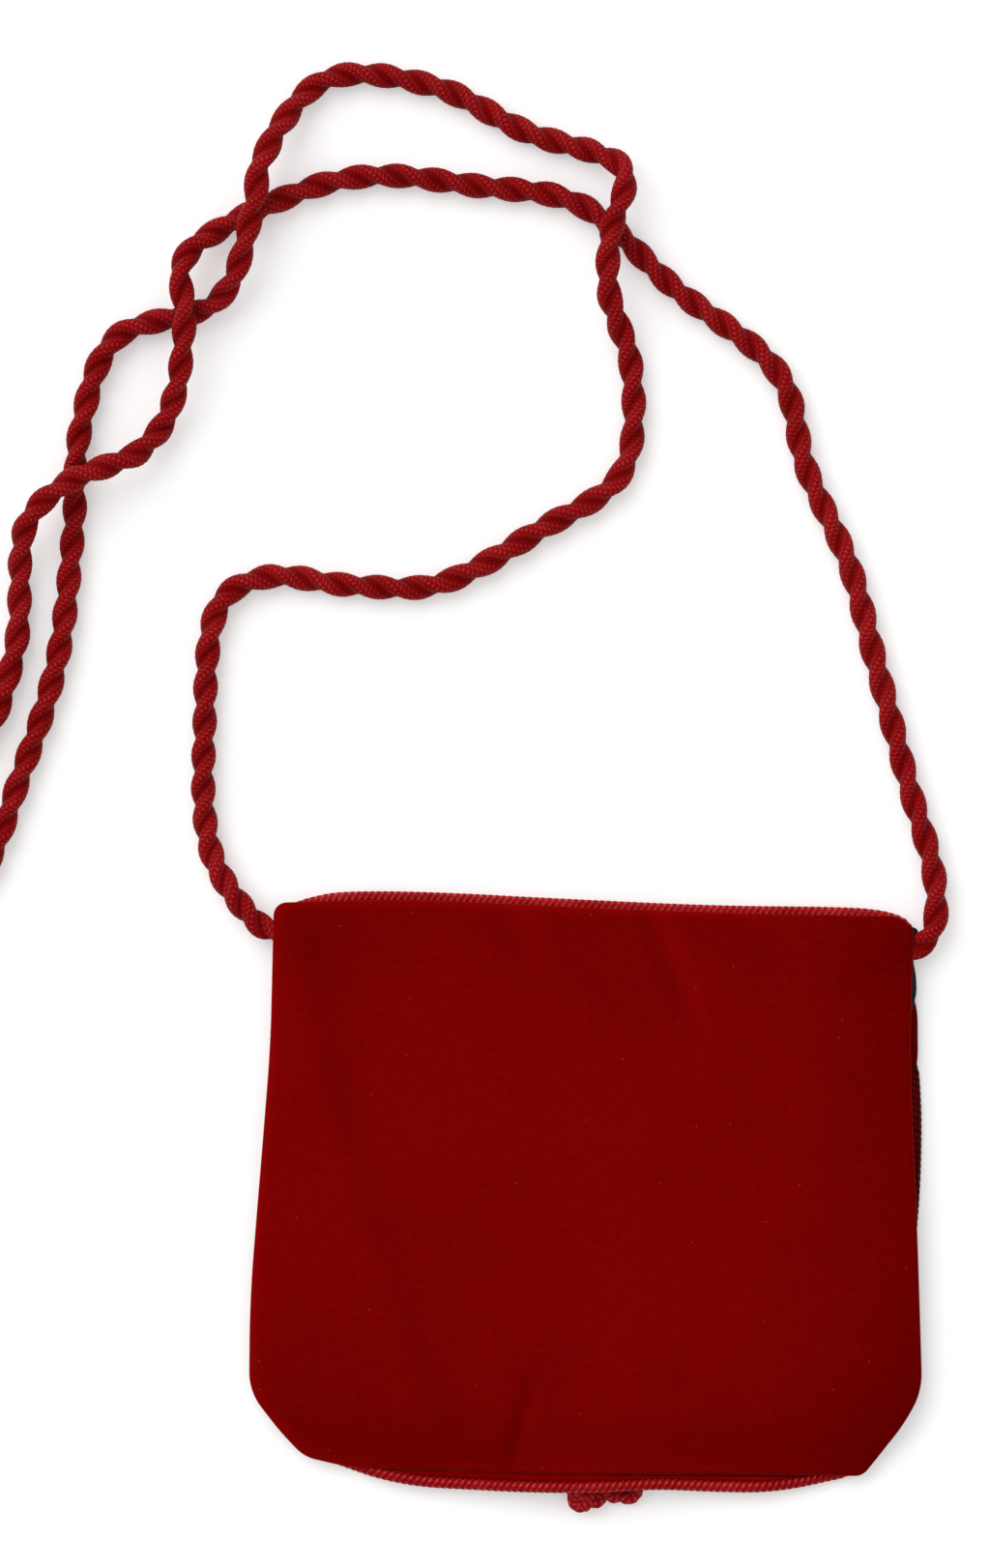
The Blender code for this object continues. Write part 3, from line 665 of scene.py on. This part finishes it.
def front_under(points, scales):
    """The outer face of the front, which lies below: a shallow bowl turned up to the seam.

    It turns up as the eighth power of the scale, but not at the mouth, where no seam holds
    it.
    """
    turned_up = 1.0 - (1.0 - scales ** 8) ** 0.75
    below = np.clip((MOUTH - points[..., 1]) / MOUTH_RUN, 0.0, 1.0)
    out = np.abs(points[..., 0]) / TOP_HALF_WIDTH
    beside = np.clip((out - SIDE_START) / SIDE_RUN, 0.0, 1.0)
    held = np.maximum(below, beside) * turned_up
    bowl = BOWL_RISE * from_middle(points)
    return (FRONT_FLAT + FRONT_CROWN * (held + (1.0 - held) * bowl) + knot_lift(points)
            + foot_drop(points) * held)


def plain_over(under, thickness):
    """A face at an even thickness over another, closed in a round edge."""
    def over(points, scales):
        edge = np.clip((1.0 - scales) * LOW_HALF_WIDTH / thickness, 0.0, 1.0)
        return under(points, scales) + thickness * np.sqrt(1.0 - (1.0 - edge) ** 2)
    return over


front_outline = rounded_outline(FRONT_CORNERS, FRONT_SIDES)
front = add_piece("front_velvet", [cloth_grid(front_outline, FRONT_UNDER_RINGS,
                                              FRONT_OVER_RINGS, front_under,
                                              plain_over(front_under, VELVET_THICKNESS))],
                  velvet_red, ["front_panel"])


# The pocket and the flap are lined with thin black satin, cut a little smaller than the velvet
# and slipped inside it. A corner of the flap's lining peeps out at the top right.

SATIN_THICKNESS = 0.0005
LINING_SCALE = 0.963
LINING_RINGS = 18
UNDER_BACK = SEAM - CLEARANCE / 2.0
FLAP_TOP = 0.0746
FOLD_DEPTH = 0.0080
CURL_HEIGHT = 0.0010
CURL_START = 0.0620
CURL_RUN = 0.0045
LIP_HEIGHT = 0.0023
LIP_START = 0.0667
LIP_RUN = 0.0011
LIP_HALF_WIDTH = 0.066
LIP_FADE = 0.024
TURN_HEIGHT = 0.0027
TURN_X = 0.0745
TURN_X_RUN = 0.0040
TURN_Y = 0.033
TURN_Y_RUN = 0.008
FLAP_LINING_SIDES = 420
FLAP_LINING_RINGS = 20
FLAP_LINING_CORNERS = (
    (80.8, 73.0, 1.0), (83.2, 71.9, 1.2), (81.4, 65.0, 2.0), (82.4, 60.5, 1.6),
    (82.7, 56.0, 1.6), (81.4, 51.0, 2.0), (79.6, 42.0, 6.0), (78.6, -64.6, 31.0),
    (-76.4, -64.6, 39.0), (-76.4, 72.6, 4.0), (-44.0, 74.2, 8.0), (8.0, 72.8, 10.0),
    (50.0, 72.4, 10.0),
)


def satin_material():
    """Black lining satin: near black with a cool cast and a soft lengthwise shine."""
    material, tree, shader = new_material("black_satin_weave")
    position = add_node(tree, "ShaderNodeTexCoord").outputs["Object"]
    stretched = add_node(tree, "ShaderNodeMapping", Vector=position, Scale=(1.0, 0.08, 1.0))
    threads = add_node(tree, "ShaderNodeTexNoise", Vector=stretched.outputs["Vector"],
                       Scale=3600.0, Detail=1.0)
    colour = add_node(tree, "ShaderNodeMix", {"data_type": "RGBA"}, i0=threads.outputs["Fac"],
                      i6=(0.002, 0.003, 0.003, 1.0), i7=(0.009, 0.013, 0.012, 1.0))
    tree.links.new(colour.outputs[2], shader.inputs["Base Color"])
    shader.inputs["Roughness"].default_value = 0.42
    shader.inputs["Specular IOR Level"].default_value = 0.20
    bump = add_node(tree, "ShaderNodeBump", Height=threads.outputs["Fac"], Strength=0.3,
                    Distance=0.00004)
    tree.links.new(bump.outputs["Normal"], shader.inputs["Normal"])
    return material


def flap_rest(points):
    """The height of the flap's outer face as it lies: flat, curled up at fold and foot.

    The foot has a gentle curl along all of it, and a sharper lip that fades out towards the
    corners.
    """
    fold = np.clip((points[..., 1] - FLAP_TOP) / FOLD_DEPTH + 1.0, 0.0, 1.0)
    foot = (CURL_HEIGHT * eased((-CURL_START - points[..., 1]) / CURL_RUN)
            + LIP_HEIGHT * eased((-LIP_START - points[..., 1]) / LIP_RUN)
            * eased((LIP_HALF_WIDTH - np.abs(points[..., 0])) / LIP_FADE))
    return (UNDER_BACK - VELVET_THICKNESS) * fold ** 2 + foot + knot_lift(points)


def flap_under(points, scales):
    """The flap's outer face, with its right edge turned over the cord towards the top."""
    beside = eased((points[..., 0] - TURN_X) / TURN_X_RUN)
    turned = TURN_HEIGHT * beside * eased((points[..., 1] - TURN_Y) / TURN_Y_RUN)
    return np.maximum(flap_rest(points), turned)


def shifted(under, shift):
    """A face moved up or down by a fixed amount."""
    def moved(points, scales):
        return under(points, scales) + shift
    return moved


satin_black = satin_material()
lining_outline = MIDDLE + (back_outline[::3] - MIDDLE) * LINING_SCALE
below_back = shifted(lambda points, scales: back_under(points, scales * LINING_SCALE),
                     -CLEARANCE - SATIN_THICKNESS)
back_lining = add_piece("back_satin", [cloth_grid(lining_outline, LINING_RINGS, LINING_RINGS,
                                                  below_back,
                                                  plain_over(below_back, SATIN_THICKNESS))],
                        satin_black, ["back_lining"])

lining_outline = MIDDLE + (front_outline[::2] - MIDDLE) * LINING_SCALE
above_front = shifted(lambda points, scales: front_under(points, scales * LINING_SCALE),
                      VELVET_THICKNESS + CLEARANCE)
front_lining = add_piece("front_satin", [cloth_grid(lining_outline, LINING_RINGS, LINING_RINGS,
                                                    above_front,
                                                    plain_over(above_front, SATIN_THICKNESS))],
                         satin_black, ["front_lining"])

above_flap = shifted(flap_under, VELVET_THICKNESS + CLEARANCE)
lining_outline = rounded_outline(FLAP_LINING_CORNERS, FLAP_LINING_SIDES)
flap_lining = add_piece("flap_satin", [cloth_grid(lining_outline, FLAP_LINING_RINGS,
                                                  FLAP_LINING_RINGS, above_flap,
                                                  plain_over(above_flap, SATIN_THICKNESS))],
                        satin_black, ["flap_lining"])


# The flap is a full-length velvet panel that turns over the top and lies under the pouch. Its
# lower corners are cut aslant and rounded, and its foot hangs just past the pouch's own.

FLAP_CORNERS = (
    (80.6, 74.2, 4.0), (80.9, 42.0, 6.0), (82.2, 24.0, 6.0), (82.2, 8.0, 8.0),
    (80.7, -18.0, 8.0), (77.0, -50.0, 8.0), (69.5, -64.4, 5.0), (49.0, -69.1, 9.0),
    (-47.0, -69.0, 12.0), (-66.4, -62.5, 5.0), (-78.3, -52.0, 8.0), (-78.3, 75.4, 4.0),
    (-44.0, 76.2, 8.0), (8.0, 74.7, 10.0), (50.0, 74.1, 10.0),
)
FLAP_SIDES = 600
FLAP_UNDER_RINGS = 44
FLAP_OVER_RINGS = 34
WAVE_START = 0.040
WAVE_RUN = 0.020
FOOT_SAG = 0.0008
FOOT_SAG_X = -0.014
FOOT_SAG_REACH = 0.026
FOOT_RISE = 0.0006
FOOT_RISE_X = 0.019
FOOT_RISE_REACH = 0.011
RIGHT_SIDE = 0.07
BULGE = 0.0023
BULGE_Y = 0.0450
BULGE_REACH = 0.0110
SIDE_PAINTED_SHADE = 0.30
SIDE_DARK_START = 0.0780
SIDE_DARK_RUN = 0.0030
BAND_START = 0.0640
BAND_RUN = 0.0030
BAND_PAINTED_LIGHT = 0.03
BAND_END_PAINTED_LIGHT = 0.32
BAND_END_START = 0.034
BAND_END_RUN = 0.014


def foot_wave(points):
    """How the foot of the flap sags and rises along its length, as two soft bells."""
    low = np.clip((-WAVE_START - points[:, 1]) / WAVE_RUN, 0.0, 1.0)
    sag = -FOOT_SAG * np.exp(-((points[:, 0] - FOOT_SAG_X) / FOOT_SAG_REACH) ** 2)
    rise = FOOT_RISE * np.exp(-((points[:, 0] - FOOT_RISE_X) / FOOT_RISE_REACH) ** 2)
    return points + np.column_stack((np.zeros(len(points)), low * (sag + rise)))


def side_bulge(points):
    """How the flap's right edge stands out where it is turned over the cord."""
    along = np.exp(-((points[:, 1] - BULGE_Y) / BULGE_REACH) ** 4) * (points[:, 0] > RIGHT_SIDE)
    return points + np.column_stack((BULGE * along, np.zeros(len(points))))


flap_outline = foot_wave(rounded_outline(FLAP_CORNERS, FLAP_SIDES))
flap_grid, flap_along, flap_shade = cloth_grid(side_bulge(flap_outline), FLAP_UNDER_RINGS,
                                               FLAP_OVER_RINGS, flap_under,
                                               plain_over(flap_under, VELVET_THICKNESS))
# Painted shade on the flap's right edge, which lies in the pouch's shadow.
flap_shade -= SIDE_PAINTED_SHADE * eased((flap_grid[..., 0] - SIDE_DARK_START) / SIDE_DARK_RUN)
# Painted light on the band along the foot, more towards its ends, where the pouch's edge shades
# it.
flap_ends = eased((np.abs(flap_grid[..., 0]) - BAND_END_START) / BAND_END_RUN)
foot_band = eased((-BAND_START - flap_grid[..., 1]) / BAND_RUN)
flap_shade += (BAND_END_PAINTED_LIGHT * flap_ends + BAND_PAINTED_LIGHT) * foot_band
flap = add_piece("flap_velvet", [(flap_grid, flap_along, flap_shade)],
                 velvet_red, ["flap"])


# The flap's free edge and the fold at the top are trimmed with a twisted rayon cord of three
# strands, sewn on edge to edge. The ends of the top piping are tucked behind the corners.

TRIM_DIAMETER = 0.0029
TRIM_LAY = 0.0050
TRIM_STRANDS = 3
TRIM_GROOVE = 0.18
TRIM_STEP = 0.00024
TRIM_SIDES = 18
TRIM_RUN_STEP = 0.0008
GROOVE_PAINTED_SHADE = 0.35
STROKE_PAINTED_HIGHLIGHT = 0.63
STROKE_BREAKS = 5.0
STROKE_TURN = 0.40
EDGE_OFFSET = 0.0011
EDGE_TOP = 0.066
TUCK = 0.0026
TUCK_Y = 0.0345
TUCK_RUN = 0.010
GLINT_START = 0.66
GLINT_RUN = 0.20
GLINT_GAIN = 0.20
GLINT_LOSS = 0.02
EDGE_PAINTED_SHADE = 0.92
INNER_PAINTED_SHADOW = 0.38
OUTER_RUN = 0.0016
OUTER_SHIFT = 0.4
SHADOW_SIDE_RUN = 0.008
SHADOW_FOOT = -0.050
SHADOW_FOOT_RUN = 0.02
PIPING_PAINTED_LIGHT = 1.09
PIPING_ROUTE = (
    (-78.0, 72.8), (-75.4, 74.4), (-73.0, 75.5), (-70.2, 76.3), (-65.4, 77.3), (-52.7, 77.9),
    (-32.6, 77.7), (-18.0, 77.2), (-3.2, 76.75), (20.4, 76.1), (38.0, 75.9), (61.6, 76.0),
    (70.0, 75.7), (75.2, 74.9), (78.6, 73.6), (80.3, 71.8),
)


def twisted_cord(centre, diameter, lay, above=None):
    """A twisted cord's grid: a profile of round lobes turned steadily along its path.

    The radius is greatest in the middle of each strand and falls to a sharp groove between
    strands. The turn is a full circle in each lay. The shade is painted: a highlight along
    the middle of each strand, broken five times round the cord, and painted shade
    elsewhere.
    """
    stations = np.linspace(0.0, travelled(centre)[-1],
                           math.ceil(travelled(centre)[-1] / TRIM_STEP))
    run = travelled(centre)
    points = np.column_stack([np.interp(stations, run, centre[:, axis]) for axis in range(3)])
    heading = unit(np.gradient(points, axis=0))
    if above is None:
        across, over = upright_axes(points)
    else:
        over = np.column_stack([np.interp(stations, run, above[:, axis]) for axis in range(3)])
        across = unit(np.cross(heading, over))
        over = np.cross(across, heading)
    angle = np.arange(TRIM_SIDES) * math.tau / TRIM_SIDES
    turn = angle[None, :] + math.tau * stations[:, None] / lay
    lobe = np.abs(np.cos(TRIM_STRANDS * turn / 2.0))
    radius = diameter / 2.0 * (1.0 - TRIM_GROOVE + TRIM_GROOVE * lobe ** 0.8)
    ring = (np.cos(angle)[None, :, None] * over[:, None]
            + np.sin(angle)[None, :, None] * across[:, None])
    stroke = lobe ** 6 * np.abs(np.cos(STROKE_BREAKS / 2.0 * (angle - STROKE_TURN))) ** 0.7
    shade = GROOVE_PAINTED_SHADE + STROKE_PAINTED_HIGHLIGHT * stroke
    return points[:, None] + radius[..., None] * ring, stations, shade


trim_red = cord_material("twisted_cord", deep=(0.045, 0.0003, 0.0006),
                         bright=(0.63, 0.006, 0.009), painted_glint=(0.78, 0.115, 0.125),
                         pitch=0.0006, slant=0.0080, columns=2.0, stitch_painted_shade=0.10)
edge = np.roll(flap_outline, -int(np.argmax(flap_outline @ (1.0, 1.0))), axis=0)
outward = np.roll(edge, 1, axis=0) - np.roll(edge, -1, axis=0)
outward = unit(np.column_stack((-outward[:, 1], outward[:, 0])))
outward *= np.sign((outward * (edge - MIDDLE)).sum(axis=1))[:, None]
edge_line = edge + outward * EDGE_OFFSET
tucked = eased((edge_line[:, 1] - TUCK_Y) / TUCK_RUN) * (edge_line[:, 0] > RIGHT_SIDE)
edge_line[:, 0] -= TUCK * tucked
edge_line = edge_line[edge_line[:, 1] < EDGE_TOP]
if edge_line[0, 0] < 0.0:
    edge_line = edge_line[::-1]
edge_height = np.maximum(flap_rest(edge_line) + VELVET_THICKNESS / 2.0, TRIM_DIAMETER / 2.0)
edge_run = even_run(np.column_stack((edge_line, edge_height)), TRIM_RUN_STEP)
edging_grid, edging_along, edging_shade = twisted_cord(edge_run, TRIM_DIAMETER, TRIM_LAY)
edging_x, edging_y = edging_grid[..., 0], edging_grid[..., 1]
# Painted shadow: the cord along the right side is painted darker, most on its outer half, and the
# whole edging is painted a little darker than the piping.
outer = eased((edging_x - edging_x.mean(axis=1)[:, None]) / OUTER_RUN + OUTER_SHIFT)
beside = (eased((edging_x - RIGHT_SIDE) / SHADOW_SIDE_RUN)
          * eased((edging_y - SHADOW_FOOT) / SHADOW_FOOT_RUN))
# Painted glints: the brightest strokes are painted brighter, and the rest a little darker.
edging_shade += GLINT_GAIN * eased((edging_shade - GLINT_START) / GLINT_RUN) - GLINT_LOSS
painted_shadow = beside * (INNER_PAINTED_SHADOW + (1.0 - INNER_PAINTED_SHADOW) * outer)
edging_shade *= EDGE_PAINTED_SHADE * (1.0 - painted_shadow)
add_piece("flap_edging", [(edging_grid, edging_along, edging_shade)],
          trim_red, ["flap_edge_cord"])

piping_flat = smooth_route(np.array(PIPING_ROUTE) / 1000.0)
piping_height = np.full(len(piping_flat), UNDER_BACK - TRIM_DIAMETER / 2.0)
piping_run = even_run(np.column_stack((piping_flat, piping_height)), TRIM_RUN_STEP)
piping_grid, piping_along, piping_shade = twisted_cord(piping_run, TRIM_DIAMETER, TRIM_LAY)
# Painted light: the piping is painted brighter than the edging, as it lies on top, facing the
# light.
add_piece("fold_piping", [(piping_grid, piping_along, PIPING_PAINTED_LIGHT * piping_shade)],
          trim_red, ["top_piping"])


# The frog closure at the foot: a ball button knotted in the same cord, and beside it the loop
# that goes over it, both sewn to the flap.

KNOT_CENTRE = np.array((0.0011, -0.0722, 0.0031))
KNOT_SIZE = np.array((0.0037, 0.0038, 0.0014))
KNOT_CORD = 0.0029
KNOT_LAY = 0.0042
KNOT_TURN = 1.88
KNOT_POINTS = 400
KNOT_WRAPS = 3.0
KNOT_BIGHTS = 4.0
BIGHT_LATITUDE = 1.02
WEAVE_DEPTH = 0.16
CORE_SCALE = 1.12
CORE_RINGS = 12
CORE_SIDES = 16
CORE_LATITUDE = 1.5
CORE_STEP = 0.0005
CORE_PAINTED_SHADE = 0.3
LOOP_CORD = 0.0036
LOOP_DEPTH = 0.0065
LOOP_STEP = 0.0004
LOOP_ROUTE = (
    (6.3, -67.6), (6.2, -70.6), (6.9, -72.6), (8.5, -73.4), (9.7, -73.0), (10.7, -73.2),
    (11.9, -73.7), (13.2, -73.0), (14.1, -71.2), (14.2, -69.4), (13.8, -67.6),
)


def knot_line():
    """A closed line woven over a ball, three times round it, with four bights at each end.

    The longitude turns three times while the latitude swings four times, and the line
    stands a little out or in so that it goes over and under itself by turns. The ball's
    axis lies level and is turned about the vertical. Returns the line and its way out.
    """
    t = np.linspace(0.0, math.tau, KNOT_POINTS)
    longitude, latitude = KNOT_WRAPS * t, BIGHT_LATITUDE * np.cos(KNOT_BIGHTS * t)
    out = 1.0 + WEAVE_DEPTH * np.sin(2.0 * KNOT_BIGHTS * t)
    ball = np.column_stack((np.sin(latitude), np.cos(latitude) * np.cos(longitude),
                            np.cos(latitude) * np.sin(longitude)))
    cosine, sine = math.cos(KNOT_TURN), math.sin(KNOT_TURN)
    turned = np.column_stack((ball[:, 0] * cosine - ball[:, 1] * sine,
                              ball[:, 0] * sine + ball[:, 1] * cosine, ball[:, 2]))
    return KNOT_CENTRE + turned * KNOT_SIZE * out[:, None], turned


def knot_core():
    """The knot's filling, painted dark as shade between strands: an ellipsoid by latitude and
    longitude.
    """
    latitude, longitude = np.meshgrid(np.linspace(-CORE_LATITUDE, CORE_LATITUDE, CORE_RINGS),
                                      np.arange(CORE_SIDES) * math.tau / CORE_SIDES,
                                      indexing="ij")
    ball = np.dstack((np.cos(latitude) * np.cos(longitude),
                      np.cos(latitude) * np.sin(longitude), np.sin(latitude)))
    along = np.arange(CORE_RINGS) * CORE_STEP
    shade = np.full((CORE_RINGS, CORE_SIDES), CORE_PAINTED_SHADE)
    return KNOT_CENTRE + CORE_SCALE * KNOT_SIZE * ball, along, shade


knot, knot_out = knot_line()
add_piece("frog_knot", [twisted_cord(knot, KNOT_CORD, KNOT_LAY, knot_out), knot_core()],
          trim_red, ["frog_button"])

loop_flat = smooth_route(np.array(LOOP_ROUTE) / 1000.0)
up = (loop_flat[:, 1] - loop_flat[:, 1].min()) / LOOP_DEPTH
at_foot = np.column_stack((loop_flat[:, 0], np.full(len(loop_flat), FLAP_FOOT)))
spare = np.maximum(flap_rest(at_foot) - CLEARANCE - LOOP_CORD, 0.0)
loop_run = even_run(np.column_stack((loop_flat, LOOP_CORD / 2.0 + spare * up)), LOOP_STEP)
add_piece("frog_loop_cord", [twisted_cord(loop_run, LOOP_CORD, TRIM_LAY)],
          trim_red, ["frog_loop"])


# The floor is a plain white sheet, a hair under the purse, and it is a little brighter to the
# camera than its colour. The light is soft: a wide lamp from the upper left, and an even sky.

FLOOR_REACH = 3.0
FLOOR_LEVEL = -0.0002
FLOOR_GLOW = 0.30
SUN_STRENGTH = 1.5
SUN_WIDTH = 60.0
SUN_TILT = (-34.0, -38.0, 0.0)
SKY_STRENGTH = 0.60

floor_mesh = bpy.data.meshes.new("floor")
floor_mesh.from_pydata([(-FLOOR_REACH, -FLOOR_REACH, FLOOR_LEVEL),
                        (FLOOR_REACH, -FLOOR_REACH, FLOOR_LEVEL),
                        (FLOOR_REACH, FLOOR_REACH, FLOOR_LEVEL),
                        (-FLOOR_REACH, FLOOR_REACH, FLOOR_LEVEL)], [], [(0, 1, 2, 3)])
floor_white, tree, shader = new_material("floor_white")
shader.inputs["Base Color"].default_value = (0.93, 0.93, 0.93, 1.0)
shader.inputs["Roughness"].default_value = 0.9
shader.inputs["Specular IOR Level"].default_value = 0.0
seen = add_node(tree, "ShaderNodeLightPath").outputs["Is Camera Ray"]
glow = add_node(tree, "ShaderNodeMath", {"operation": "MULTIPLY"},
                i0=seen, i1=FLOOR_GLOW).outputs[0]
shader.inputs["Emission Color"].default_value = (1.0, 1.0, 1.0, 1.0)
tree.links.new(glow, shader.inputs["Emission Strength"])
floor_mesh.materials.append(floor_white)
floor = bpy.data.objects.new("floor", floor_mesh)
bpy.context.scene.collection.objects.link(floor)

sun = bpy.data.lights.new("sun", "SUN")
sun.energy = SUN_STRENGTH
sun.angle = math.radians(SUN_WIDTH)
sun_lamp = bpy.data.objects.new("sun", sun)
sun_lamp.rotation_euler = [math.radians(angle) for angle in SUN_TILT]
bpy.context.scene.collection.objects.link(sun_lamp)

world = bpy.data.worlds.new("studio")
bpy.context.scene.world = world
world.use_nodes = True
sky = world.node_tree.nodes["Background"]
sky.inputs["Color"].default_value = (1.0, 1.0, 1.0, 1.0)
camera_ray = add_node(world.node_tree, "ShaderNodeLightPath").outputs["Is Camera Ray"]
sky_level = add_node(world.node_tree, "ShaderNodeMix", {"data_type": "FLOAT"}, i0=camera_ray,
                     i2=SKY_STRENGTH, i3=1.0).outputs[0]
world.node_tree.links.new(sky_level, sky.inputs["Strength"])

bpy.context.scene.view_settings.view_transform = "Standard"
